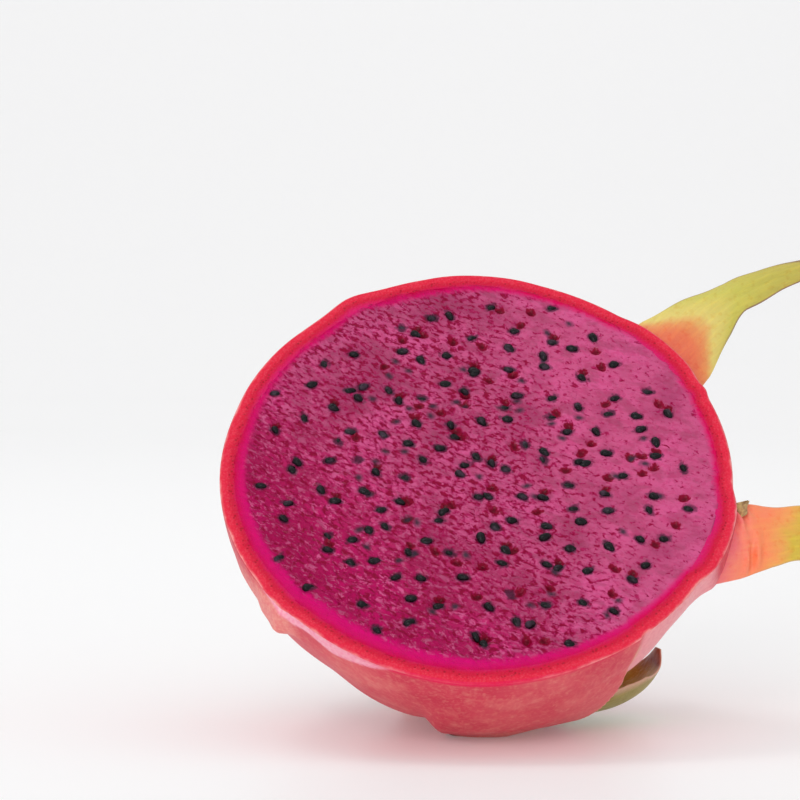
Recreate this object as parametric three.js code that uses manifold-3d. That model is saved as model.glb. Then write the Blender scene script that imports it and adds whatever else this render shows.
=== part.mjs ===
// Half of a red-fleshed dragon fruit, cut across and leaning back on its own scales.
// Millimetres, +Z up, the table at z = 0, the cut face towards -Y.
import * as THREE from 'three';
import { mergeVertices } from 'three/addons/utils/BufferGeometryUtils.js';
import Module from 'manifold-3d';

const wasm = await Module();
wasm.setup();

// the half as a whole
const RIM_R = 47.3; // outside radius of the cut rim
const DEPTH = 51; // cut face to flower end
const FULLNESS = 1.8; // 2 would be a half spheroid
const FACE_TILT = 41.8; // the cut face's normal above the table, degrees
const FACE_CENTRE = [0, -4.5, 49.4];
const OUTLINE = [[3, 0.18, -87], [4, 0.36, 28], [5, 0.17, -164]]; // waves, mm, degrees

// the layers
const RIND = 2.8;
const GAP = 0.3;
const FLESH_DEPTH = 44.5;
const CRATER_R = 9; // hollow that the dried flower sits in
const CRATER_DEEP = 2.4;

// the seeds
const SEEDS = 150;
const SEED_FIELD = 40.5; // radius of the seeded part of the flesh
const SEED = [2.5, 1.6, 1.5]; // length, width, height
const SEED_PROUD = 0.5;
const SEED_SHIFT = 2.3; // most that a seed is moved off its even place

const rad = THREE.MathUtils.degToRad;
const tilt = rad(FACE_TILT);
const AXIS = new THREE.Vector3(0, Math.cos(tilt), -Math.sin(tilt)); // from the face into the fruit
const RIGHT = new THREE.Vector3(1, 0, 0);
const UP = new THREE.Vector3(0, Math.sin(tilt), Math.cos(tilt));
const CENTRE = new THREE.Vector3(...FACE_CENTRE);

// a random number from 0 to 1 that is the same on every run
function draw(seed) {
  const s = Math.sin(seed * 127.1 + 11.7) * 43758.5453;
  return s - Math.floor(s);
}

function smooth(x) {
  const t = Math.min(1, Math.max(0, x));
  return t * t * (3 - 2 * t);
}

// angle round the face in degrees, depth behind it, distance from the axis
function place(phi, depth, r) {
  const a = rad(phi);
  return CENTRE.clone()
    .addScaledVector(AXIS, depth)
    .addScaledVector(RIGHT, r * Math.cos(a))
    .addScaledVector(UP, r * Math.sin(a));
}

function rimRadius(phi) {
  return OUTLINE.reduce((r, [n, size, at]) => r + size * Math.cos(rad(n * phi - at)), RIM_R);
}

// point and outward normal of the plain skin; lat is 0 at the rim and 90 at the flower end
function skin(phi, lat) {
  const r = rimRadius(phi);
  const c = Math.pow(Math.abs(Math.cos(rad(lat))), 2 / FULLNESS);
  const s = Math.pow(Math.sin(rad(lat)), 2 / FULLNESS);
  const crater = CRATER_DEEP * Math.pow(Math.max(0, 1 - Math.pow(r * c / CRATER_R, 2)), 2);
  const point = place(phi, DEPTH * s - crater, r * c);
  const normal = place(phi, Math.pow(s, FULLNESS - 1) / DEPTH, Math.pow(c, FULLNESS - 1) / r)
    .sub(CENTRE).normalize();
  return { point, normal };
}

const latitude = (depth) => THREE.MathUtils.radToDeg(Math.asin(Math.pow(depth / DEPTH, FULLNESS / 2)));

// The scales that show: root on the skin (angle, depth), then the midline from the root as
// right, back and up, with the half width, thickness and cross curl at each of its points.
// A positive curl bends the edges towards the fruit.
const SHOWN = [
  { // upper right, standing out from behind the rim and bending to the right
    root: [39, 4], cushion: [1, 12],
    path: [
      [-3, -3, -2, 9.8, 3, 0.02], [3, 3, 2.5, 8.6, 3, 0.02], [9, 6.5, 8, 6, 2.6, 0.03],
      [15, 9, 12.2, 3.7, 2.2, 0.05], [22, 11, 15.4, 3.1, 1.8, 0.08], [30, 12, 18.2, 2, 1.3, 0.1],
      [36, 11, 21.4, 0.8, 1, 0.1],
    ],
  },
  { // right, long and broad, pointing to the right
    root: [-19, 4], cushion: [1.4, 12],
    path: [
      [-3, -2, 1.6, 8.2, 3.2, 0.02], [3, 2, 1.4, 7.2, 3, 0.02], [9, 4, 1.9, 5.9, 2.6, 0.02],
      [16, 6, 2.2, 5.3, 2.2, 0.02], [23, 8, 1.8, 4.8, 1.8, 0.03], [29, 10, 1.2, 3.2, 1.4, 0.05],
      [34, 12, 0, 0.9, 1, 0.05],
    ],
  },
  { // lower right, a cup just above the table, open upwards, with its tip curling up
    root: [-62, 36], cushion: [0, 12], facing: [0.15, -0.06, -0.99],
    path: [
      [-5.5, -0.6, -1.3, 6, 2, 0.05], [0.5, 1.4, -2.4, 7.5, 2, 0.085], [6.5, 3.9, -2.6, 8, 1.6, 0.1],
      [12.5, 6.4, -1.5, 8.2, 1.4, 0.11], [17.3, 8.4, 1.2, 7.8, 1.2, 0.1], [19.9, 9.4, 4.8, 5.4, 1, 0.06],
      [20.9, 9.5, 8.4, 1.4, 0.9, 0],
    ],
  },
  { // the broad one under the fruit: it carries the weight and runs back along the table
    root: [-76, 4], cushion: [0, 12],
    path: [
      [0.2, -6.3, 6.5, 17, 1.8, 0.021], [-0.2, 0.5, 0.6, 16.6, 1.8, 0.026], [-0.9, 6.7, -4, 14.6, 1.9, 0.034],
      [-2.2, 15.6, -8.7, 13, 2.1, 0.04], [-2.7, 28.9, -11.7, 14.8, 2.2, 0.016],
      [-2.5, 45.9, -11.7, 13, 2.4, 0.008], [-3, 57.9, -11.8, 8.5, 1.8, 0.003], [-3.4, 67.4, -12, 1.5, 1, 0],
    ],
  },
];

// The others follow a rule: angle, depth, length, half width, how far the tip is lifted off,
// height and half width of the cushion. The first is what the knife left of a scale.
const RULED = [
  [-132, 1, 9, 14, -3, 0, 12],
  [88, 17, 34, 10, 5], [148, 20, 34, 10, 5], [-172, 26, 30, 9, 2], [5, 26, 30, 9, 7],
  [-118, 38, 34, 9, 6], [-95, 41, 30, 8, 2],
  [-32, 42, 30, 7.5, 5], [28, 41, 34, 8, 11], [72, 40, 32, 7.5, 9], [122, 41, 34, 8, 8],
  [175, 42, 30, 7.5, 6],
];

function ruledScale([phi, depth, length, half, lift, height = 1.1, spread = half * 1.2], index) {
  const { point, normal } = skin(phi, latitude(depth));
  const along = skin(phi, latitude(depth) + 1).point.sub(point).normalize();
  const side = new THREE.Vector3().crossVectors(normal, along);
  const lean = (draw(index + 40) - 0.5) * 8;
  const path = [-0.12, 0.1, 0.35, 0.6, 0.82, 1].map((t, k) => {
    const out = lift * t * t - (t < 0 ? 1 : 0) + 0.4;
    const p = along.clone().multiplyScalar(length * t * (1 - 0.12 * t))
      .addScaledVector(normal, out + length * 0.22 * Math.max(0, t - 0.25))
      .addScaledVector(side, lean * t * t);
    const w = half * [1, 1, 0.86, 0.62, 0.36, 0.12][k];
    return [p.x, p.y, p.z, w, 3 - 2 * Math.max(0, t), 0.025 + 0.03 * Math.max(0, t)];
  });
  return { root: [phi, depth], cushion: [height, spread], path };
}

const SCALES = [...SHOWN, ...RULED.map(ruledScale)];

// Cushions: the skin swells towards the root of each scale and falls away behind it.
const cushions = SCALES.map(({ root: [phi, depth], cushion: [height, half] }) => {
  const { point, normal } = skin(phi, latitude(depth));
  const along = skin(phi, latitude(depth) + 1).point.sub(point).normalize();
  return { point, along, side: new THREE.Vector3().crossVectors(normal, along), height, half };
});

function swelling(point) {
  let most = 0;
  for (const c of cushions) {
    const d = point.clone().sub(c.point);
    const x = d.dot(c.along);
    const y = d.dot(c.side) / c.half;
    if (d.length() > 40 || Math.abs(y) >= 1) continue;
    const ramp = x < 0 ? smooth(1 + x / 26) : smooth(1 - x / 9);
    most = Math.max(most, c.height * ramp * Math.pow(1 - y ** 4, 2));
  }
  return most;
}

function outerSkin(phi, lat) {
  const { point, normal } = skin(phi, lat);
  return point.addScaledVector(normal, swelling(point));
}

// closed mesh from rings of points that all have the same count, with a point at each end
function ringsToGeometry(rings, first, last) {
  const n = rings[0].length;
  const points = [first, ...rings.flat(), last];
  const at = (k, j) => 1 + k * n + ((j + n) % n);
  const index = [];
  for (let j = 0; j < n; j += 1) {
    index.push(0, at(0, j + 1), at(0, j));
    index.push(points.length - 1, at(rings.length - 1, j), at(rings.length - 1, j + 1));
  }
  for (let k = 0; k + 1 < rings.length; k += 1) {
    for (let j = 0; j < n; j += 1) {
      index.push(at(k, j), at(k, j + 1), at(k + 1, j + 1));
      index.push(at(k, j), at(k + 1, j + 1), at(k + 1, j));
    }
  }
  const g = new THREE.BufferGeometry();
  g.setAttribute('position', new THREE.Float32BufferAttribute(points.flatMap((p) => p.toArray()), 3));
  g.setIndex(index);
  return g;
}

function solid(geometry) {
  const g = mergeVertices(geometry, 1e-4);
  const body = new wasm.Manifold(new wasm.Mesh({
    numProp: 3,
    vertProperties: new Float32Array(g.attributes.position.array),
    triVerts: new Uint32Array(g.index.array),
  }));
  if (body.volume() > 0) return body;
  const flip = g.index.array.slice().reverse();
  return new wasm.Manifold(new wasm.Mesh({
    numProp: 3,
    vertProperties: new Float32Array(g.attributes.position.array),
    triVerts: new Uint32Array(flip),
  }));
}

function box(width, length, height, centre, turn) {
  const g = new THREE.BoxGeometry(width, length, height);
  g.deleteAttribute('normal');
  g.deleteAttribute('uv');
  if (turn) g.rotateX(turn);
  g.translate(...centre.toArray());
  return solid(g);
}

// a scale as a bent blade: rounded edges, curled across, never through the table
const RING = [
  [-1, 0], [-0.88, 1], [-0.45, 1], [0, 1], [0.45, 1], [0.88, 1],
  [1, 0], [0.88, -1], [0.45, -1], [0, -1], [-0.45, -1], [-0.88, -1],
];

function blade(scale, stations) {
  const { point, normal } = skin(scale.root[0], latitude(Math.max(0, scale.root[1])));
  const knots = scale.path.map((row) => new THREE.Vector3(row[0], row[1], row[2]).add(point));
  const line = new THREE.CatmullRomCurve3(knots, false, 'centripetal');
  const last = knots.length - 1;
  const rings = [];
  let n = scale.facing ? new THREE.Vector3(...scale.facing) : normal.clone().sub(AXIS);
  for (let k = 0; k <= stations; k += 1) {
    const t = k / stations;
    const p = line.getPoint(t);
    const along = line.getTangent(t);
    n = n.addScaledVector(along, -n.dot(along)).normalize();
    const side = new THREE.Vector3().crossVectors(along, n);
    const i = Math.min(last - 1, Math.floor(t * last));
    const f = t * last - i;
    const [half, thick, curl] = [3, 4, 5].map((c) => scale.path[i][c] * (1 - f) + scale.path[i + 1][c] * f);
    rings.push(RING.map(([q, face]) => {
      const edge = thick * (1 - 0.55 * q * q);
      const sink = curl * half * half * q * q * 0.5;
      const mid = p.clone().addScaledVector(side, q * half).addScaledVector(n, -sink);
      const floor = edge / 2 - 0.12;
      if (mid.z < floor) mid.z = floor;
      return mid.addScaledVector(n, face * edge / 2);
    }));
  }
  const middle = (ring) => ring.reduce((a, b) => a.add(b), new THREE.Vector3()).divideScalar(ring.length);
  return ringsToGeometry(rings, middle(rings[0]), middle(rings[rings.length - 1]));
}

// the rind: an open cup
function cup() {
  const round = 72;
  const outer = [];
  const inner = [];
  for (const lat of [0, 4, 9, 15, 21, 27, 33, 39, 45, 51, 57, 63, 69, 75, 80, 84, 87]) {
    outer.push(Array.from({ length: round }, (_, j) => outerSkin(j * 360 / round, lat)));
  }
  for (const lat of [0, 12, 24, 36, 48, 60, 70, 80]) {
    inner.push(Array.from({ length: round }, (_, j) => cavity(j * 360 / round, lat, 0)));
  }
  return ringsToGeometry([...inner.reverse(), ...outer],
    place(0, FLESH_DEPTH + GAP, 0), outerSkin(0, 90));
}

// inside of the rind; back is how far a surface stays behind it
function cavity(phi, lat, back) {
  const r = rimRadius(phi) - RIND - back;
  return place(phi, (FLESH_DEPTH + GAP - back) * Math.sin(rad(lat)), r * Math.cos(rad(lat)));
}

function fleshBody() {
  const round = 72;
  const rings = [40, 43].map((r) => Array.from({ length: round }, (_, j) => place(j * 360 / round, 0, r)));
  for (const lat of [0, 12, 24, 36, 48, 60, 70, 80]) {
    rings.push(Array.from({ length: round }, (_, j) => cavity(j * 360 / round, lat, GAP)));
  }
  return ringsToGeometry(rings, place(0, 0, 0), place(0, FLESH_DEPTH, 0));
}

// Seeds sit on an even spiral, each moved off its place by a seeded draw.
function seedGeometries() {
  return Array.from({ length: SEEDS }, (_, i) => {
    const r = SEED_FIELD * Math.pow((i + 0.5) / SEEDS, 0.54);
    const a = i * 2.39996 + 0.3;
    const x = r * Math.cos(a) + (draw(i) - 0.5) * 2 * SEED_SHIFT;
    const y = r * Math.sin(a) + (draw(i + 500) - 0.5) * 2 * SEED_SHIFT;
    const turn = rad(-25 + (draw(i + 900) - 0.5) * 110);
    const size = 0.85 + 0.3 * draw(i + 1300);
    const g = new THREE.IcosahedronGeometry(1, 0);
    g.deleteAttribute('normal');
    g.deleteAttribute('uv');
    g.scale(SEED[0] / 2 * size, SEED[1] / 2 * size, SEED[2] / 2);
    g.rotateZ(turn);
    g.translate(x, y, SEED_PROUD - SEED[2] / 2);
    const frame = new THREE.Matrix4().makeBasis(RIGHT, UP, AXIS.clone().negate());
    g.applyMatrix4(frame);
    g.translate(...CENTRE.toArray());
    return g;
  });
}

// the dried flower: a short neck and crumpled papery shreds
function driedFlower() {
  const foot = DEPTH - CRATER_DEEP + 3 * GAP;
  const rings = [];
  const round = 14;
  for (const [deep, r] of [[0, 3.4], [1, 4.4], [3, 4.2], [6, 3.6], [9, 3.9], [11.5, 2.6]]) {
    rings.push(Array.from({ length: round }, (_, j) => {
      const phi = j * 360 / round;
      const wrinkle = 1 + 0.16 * Math.cos(rad(phi * 5)) * Math.min(1, deep / 3);
      return place(phi, foot + deep, r * wrinkle);
    }));
  }
  const neck = ringsToGeometry(rings, place(0, foot, 0), place(0, foot + 11.8, 0));
  const shreds = Array.from({ length: 5 }, (_, i) => {
    const phi = i * 72 + 20;
    const from = place(phi, DEPTH + 2, 2.6);
    const out = place(phi, 0, 1).sub(CENTRE);
    const bend = draw(i + 70) * 3;
    const path = [[0, 0], [4, 0.8], [8, 2.2 + bend], [11.5 - bend, 4.5 + bend]].map(([deep, away], k) => {
      const p = AXIS.clone().multiplyScalar(deep).addScaledVector(out, away);
      return [p.x, p.y, p.z, [2.2, 2.4, 1.8, 0.7][k], 1, 0.12];
    });
    return petal(from, out, path);
  });
  return [neck, ...shreds];
}

function petal(from, out, path) {
  const rings = [];
  for (let k = 0; k < path.length; k += 1) {
    const p = new THREE.Vector3(...path[k].slice(0, 3)).add(from);
    const before = new THREE.Vector3(...path[Math.max(0, k - 1)].slice(0, 3));
    const after = new THREE.Vector3(...path[Math.min(path.length - 1, k + 1)].slice(0, 3));
    const along = after.sub(before).normalize();
    const n = out.clone().addScaledVector(along, -out.dot(along)).normalize();
    const side = new THREE.Vector3().crossVectors(along, n);
    rings.push([[-1, 0], [0, 1], [1, 0], [0, -1]].map(([q, face]) => p.clone()
      .addScaledVector(side, q * path[k][3])
      .addScaledVector(n, face * 0.5 - 0.3 * q * q)));
  }
  const middle = (ring) => ring.reduce((a, b) => a.add(b), new THREE.Vector3()).divideScalar(ring.length);
  return ringsToGeometry(rings, middle(rings[0]), middle(rings[rings.length - 1]));
}

function union(parts) {
  return parts.reduce((all, part) => all.add(part));
}

function toMesh(name, body, colour, roughness) {
  const m = body.getMesh();
  const g = new THREE.BufferGeometry();
  const position = new Float32Array(m.numVert * 3);
  for (let i = 0; i < m.numVert; i += 1) {
    position.set(m.vertProperties.slice(i * m.numProp, i * m.numProp + 3), i * 3);
  }
  g.setAttribute('position', new THREE.BufferAttribute(position, 3));
  g.setIndex(new THREE.BufferAttribute(new Uint32Array(m.triVerts), 1));
  g.computeVertexNormals();
  const material = new THREE.MeshStandardMaterial({ color: colour, roughness, metalness: 0 });
  const mesh = new THREE.Mesh(g, material);
  mesh.name = name;
  return mesh;
}

const aboveTable = box(300, 300, 200, new THREE.Vector3(0, 0, 100));
const behindFace = box(300, 300, 200, CENTRE.clone().addScaledVector(AXIS, 100), Math.PI / 2 - tilt);

const flesh = union([solid(fleshBody()), ...seedGeometries().map(solid)]);
const hollow = solid(fleshHull());
const blades = union(SCALES.map((scale) => solid(blade(scale, 9)))).subtract(hollow);
const peel = solid(cup()).add(blades).intersect(aboveTable).intersect(behindFace);
const flower = union(driedFlower().map(solid)).intersect(aboveTable);

// the space that the flesh fills, closed over the cut, so that no root comes through the rind
function fleshHull() {
  const rings = [[-30, 1], [0, 1]].map(([d]) => Array.from({ length: 48 }, (_, j) => {
    const phi = j * 360 / 48;
    return place(phi, d, rimRadius(phi) - RIND);
  }));
  for (const lat of [12, 24, 36, 48, 60, 70, 80]) {
    rings.push(Array.from({ length: 48 }, (_, j) => cavity(j * 360 / 48, lat, -0.2)));
  }
  return ringsToGeometry(rings, place(0, -30, 0), place(0, FLESH_DEPTH + GAP + 0.2, 0));
}

const fruit = new THREE.Group();
fruit.name = 'dragon_fruit';
fruit.add(
  toMesh('peel', peel, '#d8596c', 0.5),
  toMesh('flesh', flesh, '#a83368', 0.35),
  toMesh('dried_flower', flower, '#8a6a4c', 0.9),
);

export default fruit;
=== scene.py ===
# %% [markdown]
# # Half a dragon fruit
# A red-fleshed dragon fruit is cut across, and one half leans back on its own scales so that the cut
# faces the viewer. The solids of the part give its size and place. This file dresses them: a finely
# shaped skin with its cut rind, leafy scales, wet flesh with glossy black seeds, and the dried flower
# at the far end. Every surface is a formula over two parameters, worked out with whole arrays.

import bpy
import numpy as np
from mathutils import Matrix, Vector
from mathutils.kdtree import KDTree


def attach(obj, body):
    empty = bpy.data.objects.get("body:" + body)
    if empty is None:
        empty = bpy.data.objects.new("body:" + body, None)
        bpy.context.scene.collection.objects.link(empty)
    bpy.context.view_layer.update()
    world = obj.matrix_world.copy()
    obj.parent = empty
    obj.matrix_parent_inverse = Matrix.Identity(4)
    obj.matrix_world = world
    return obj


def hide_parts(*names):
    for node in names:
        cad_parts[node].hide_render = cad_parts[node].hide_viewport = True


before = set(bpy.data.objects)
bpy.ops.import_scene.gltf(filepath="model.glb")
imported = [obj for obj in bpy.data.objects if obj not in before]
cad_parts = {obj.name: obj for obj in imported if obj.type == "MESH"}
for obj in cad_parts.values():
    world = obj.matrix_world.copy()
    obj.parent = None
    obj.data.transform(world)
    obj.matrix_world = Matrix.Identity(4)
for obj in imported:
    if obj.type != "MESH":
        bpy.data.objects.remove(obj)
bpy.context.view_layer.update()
print("nodes:", sorted(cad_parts))

# %% [markdown]
# ## The frame of the fruit
# All sizes are in millimetres and turn into metres when a mesh is made. A point of the fruit is given by
# the angle round the cut face, the depth behind it and the distance from the axis, as on a lathe that is
# tilted back. These are the same named sizes that the solids use.

# %% Sizes and places
MM = 0.001
RIM_R = 47.3
DEPTH = 51.0
FULLNESS = 1.8  # 2 would make the profile an ellipse
FACE_TILT = 41.8  # degrees back from upright
CENTRE = np.array([0.0, -4.5, 49.4])  # middle of the cut face
OUTLINE = [(3, 0.18, -87), (4, 0.36, 28), (5, 0.17, -164)]  # waves round the rim, height, angle of a crest
RIND = 2.8
GAP = 0.3
FLESH_DEPTH = 44.5
CRATER_R = 9.0  # the dip in which the dried flower stands
CRATER_DEEP = 2.4

tilt = np.radians(FACE_TILT)
AXIS = np.array([0.0, np.cos(tilt), -np.sin(tilt)])
RIGHT = np.array([1.0, 0.0, 0.0])
UP = np.array([0.0, np.sin(tilt), np.cos(tilt)])


def place(phi, depth, r):
    """Point at an angle round the face in degrees, a depth behind it and a distance from the axis."""
    a = np.radians(phi)
    depth, r, a = np.broadcast_arrays(depth, r, a)
    return (CENTRE + depth[..., None] * AXIS + (r * np.cos(a))[..., None] * RIGHT
            + (r * np.sin(a))[..., None] * UP)


def rim_radius(phi):
    """Radius of the rim: a circle with three small waves round it."""
    return RIM_R + sum(size * np.cos(np.radians(n * phi - at)) for n, size, at in OUTLINE)


def unit(v):
    """The vectors, brought to length 1."""
    return v / np.maximum(np.linalg.norm(v, axis=-1, keepdims=True), 1e-9)


def skin_point(phi, lat):
    """Point and outward normal of the plain skin; lat is 0 at the rim and 90 at the flower end."""
    r = rim_radius(phi)
    c = np.abs(np.cos(np.radians(lat))) ** (2 / FULLNESS)
    s = np.abs(np.sin(np.radians(lat))) ** (2 / FULLNESS)
    crater = CRATER_DEEP * np.clip(1 - (r * c / CRATER_R) ** 2, 0, 1) ** 2
    point = place(phi, DEPTH * s - crater, r * c)
    normal = unit(place(phi, s ** (FULLNESS - 1) / DEPTH, c ** (FULLNESS - 1) / r) - CENTRE)
    return point, normal


def latitude(depth):
    """The lat at which the plain skin reaches a depth."""
    return np.degrees(np.arcsin((depth / DEPTH) ** (FULLNESS / 2)))


def draw(seed):
    """A random number from 0 to 1 that is the same on every run."""
    s = np.sin(np.asarray(seed) * 127.1 + 11.7) * 43758.5453
    return s - np.floor(s)


def smooth(x):
    """A soft step: 0 below 0, 1 above 1, and three times the square less twice the cube between."""
    t = np.clip(x, 0, 1)
    return t * t * (3 - 2 * t)


def bump_at(x, centre, width):
    """A soft bell of height 1 at centre: e to the power of minus the squared distance in widths."""
    return np.exp(-((x - centre) / width) ** 2)


all_round = rim_radius(np.arange(360.0))
print("rim from", all_round.min().round(2), "to", all_round.max().round(2), "mm")

# %% [markdown]
# ## Making a mesh from a grid
# Most pieces are one closed grid: rings of points that follow each other, with a point at each end. The
# helper joins neighbouring rings with four-sided faces and closes both ends with fans. Values that a
# material needs, such as how far along a scale a point lies, are stored on the points as attributes.

# %% Mesh helpers
def with_ends(values):
    """Values on the rings of a tube, then the mean of the first and of the last ring for its ends."""
    return np.concatenate([values.reshape(-1, *values.shape[2:]), [values[0].mean(0), values[-1].mean(0)]])


def closed_tube(points):
    """Points and faces of rings (rows, columns, xyz): quads between rings and a fan over each end."""
    rows, count = points.shape[:2]
    j = np.arange(count)
    nxt = (j + 1) % count
    ring = np.arange(rows - 1)[:, None] * count
    quads = np.stack([ring + j, ring + nxt, ring + count + nxt, ring + count + j], -1).reshape(-1, 4)
    first_end = rows * count
    last_ring = first_end - count
    start = np.stack([np.full(count, first_end), nxt, j], -1)
    end = np.stack([np.full(count, first_end + 1), last_ring + j, last_ring + nxt], -1)
    return with_ends(points), quads, np.vstack([start, end])


def joined(tubes):
    """Points, quads and triangles of several closed tubes as one mesh."""
    made = []
    first = 0
    for rings in tubes:
        points, quads, tris = closed_tube(rings)
        made.append((points, quads + first, tris + first))
        first += len(points)
    return [np.vstack(part) for part in zip(*made)]


def add_object(name, data):
    """A new object of the scene with this data."""
    thing = bpy.data.objects.new(name, data)
    bpy.context.scene.collection.objects.link(thing)
    return thing


def make_piece(name, points, quads, tris, material, node, attributes=None, uv=None):
    """Builds one mesh object at the origin, sets its attributes and hangs it on the root body."""
    mesh = bpy.data.meshes.new(name)
    mesh.from_pydata(points * MM, [], [*quads.tolist(), *tris.tolist()])
    mesh.shade_smooth()
    for key, values in (attributes or {}).items():
        layer = mesh.attributes.new(key, "FLOAT", "POINT")
        layer.data.foreach_set("value", np.asarray(values, np.float32).ravel())
    if uv is not None:
        corners = np.concatenate([quads.ravel(), tris.ravel()])
        layer = mesh.uv_layers.new(name="face")
        layer.data.foreach_set("uv", uv[corners].astype(np.float32).ravel())
    mesh.validate()
    mesh.materials.append(material)
    piece = add_object(name, mesh)
    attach(piece, "root")
    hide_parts(node)
    print(f"{name}: {len(points)} points, {2 * len(quads) + len(tris)} triangles")


# %% [markdown]
# ## Materials from nodes
# The helpers keep the node code short: one adds a node, sets its inputs and returns it, and the others
# read an attribute, do a sum, mix two colours or spread a value over a colour ramp. Colours are written as
# they look on screen, from 0 to 255, and are turned into the linear values that Blender works with.

# %% Material helpers
def colour(r, g, b):
    """A screen colour as linear light: a power curve with a short straight foot."""
    c = np.array([r, g, b]) / 255
    linear = np.where(c <= 0.04045, c / 12.92, ((c + 0.055) / 1.055) ** 2.4)
    return (*linear.tolist(), 1.0)


class Nodes:
    """A material being written: every call adds a node and returns its main output."""

    def __init__(self, name, **values):
        self.material = bpy.data.materials.new(name)
        self.material.use_nodes = True
        self.tree = self.material.node_tree
        self.shader = self.tree.nodes["Principled BSDF"]
        for key, value in values.items():
            self.shader.inputs[key.replace("_", " ")].default_value = value

    def add(self, kind, **inputs):
        node = self.tree.nodes.new(kind)
        for key, value in inputs.items():
            self.put(node.inputs[key], value)
        return node

    def put(self, socket, value):
        """Links an output to the socket, or sets it to a number or a colour."""
        if isinstance(value, bpy.types.NodeSocket):
            self.tree.links.new(value, socket)
        else:
            socket.default_value = value

    def read(self, name):
        """A value that is stored on the points."""
        node = self.tree.nodes.new("ShaderNodeAttribute")
        node.attribute_name = name
        return node.outputs["Fac"]

    def uv(self):
        return self.tree.nodes.new("ShaderNodeUVMap").outputs["UV"]

    def coords(self):
        return self.tree.nodes.new("ShaderNodeTexCoord").outputs["Object"]

    def noise(self, vector, scale, detail=3.0, rough=0.5, stretch=(1, 1, 1), twist=0.0):
        if stretch != (1, 1, 1):
            vector = self.add("ShaderNodeMapping", Vector=vector, Scale=stretch).outputs["Vector"]
        return self.add("ShaderNodeTexNoise", Vector=vector, Scale=scale, Detail=detail, Roughness=rough,
                        Distortion=twist).outputs["Fac"]

    def cells(self, vector, scale):
        return self.add("ShaderNodeTexVoronoi", Vector=vector, Scale=scale).outputs["Distance"]

    def math(self, operation, a, b=0.0):
        node = self.add("ShaderNodeMath")
        node.operation = operation
        self.put(node.inputs[0], a)
        self.put(node.inputs[1], b)
        return node.outputs["Value"]

    def plus(self, a, b):
        return self.math("ADD", a, b)

    def times(self, a, b):
        return self.math("MULTIPLY", a, b)

    def swing(self, noise, by):
        """A noise made to swing round 0: a half is taken off and the rest is multiplied."""
        return self.times(self.math("SUBTRACT", noise, 0.5), by)

    def ramp(self, value, stops):
        """stops are (place, colour) pairs; a number instead of a colour gives a grey."""
        node = self.add("ShaderNodeValToRGB", Fac=value)
        ramp = node.color_ramp
        while len(ramp.elements) < len(stops):
            ramp.elements.new(0.5)
        for element, (at, tone) in zip(ramp.elements, stops):
            element.position = at
            element.color = (tone, tone, tone, 1) if np.isscalar(tone) else colour(*tone)
        return node.outputs["Color"]

    def two_tone(self, noise, dark, pale):
        """Two colours that a noise runs between."""
        return self.ramp(noise, [(0.35, dark), (0.65, pale)])

    def mix(self, amount, a, b, how="MIX"):
        """b laid over a; each is an output or a colour."""
        node = self.tree.nodes.new("ShaderNodeMix")
        node.data_type = "RGBA"
        node.blend_type = how
        for index, value in ((0, amount), (6, a), (7, b)):
            self.put(node.inputs[index], colour(*value) if isinstance(value, tuple) else value)
        return node.outputs[2]

    def bump(self, height, strength, distance, below=None):
        """Bump from a height, on top of another bump if one is given."""
        node = self.add("ShaderNodeBump", Height=height, Strength=strength, Distance=distance)
        if below is not None:
            self.tree.links.new(below, node.inputs["Normal"])
        return node.outputs["Normal"]

    def finish(self, **links):
        for key, value in links.items():
            self.put(self.shader.inputs[key.replace("_", " ")], value)
        print("material", self.material.name, "has", len(self.tree.nodes), "nodes")
        return self.material


# %% [markdown]
# ## Where the scales stand
# A dragon fruit's scales are leaf-like bracts that grow from its skin. The ones that the viewer sees are
# placed one by one: root on the skin, then points of the midline with the half width, thickness and cross
# curl there. The rest follow a rule, as round the flower end of any such fruit. The tables are those of
# the solids, so each fine scale lies where its plain one does.

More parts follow.
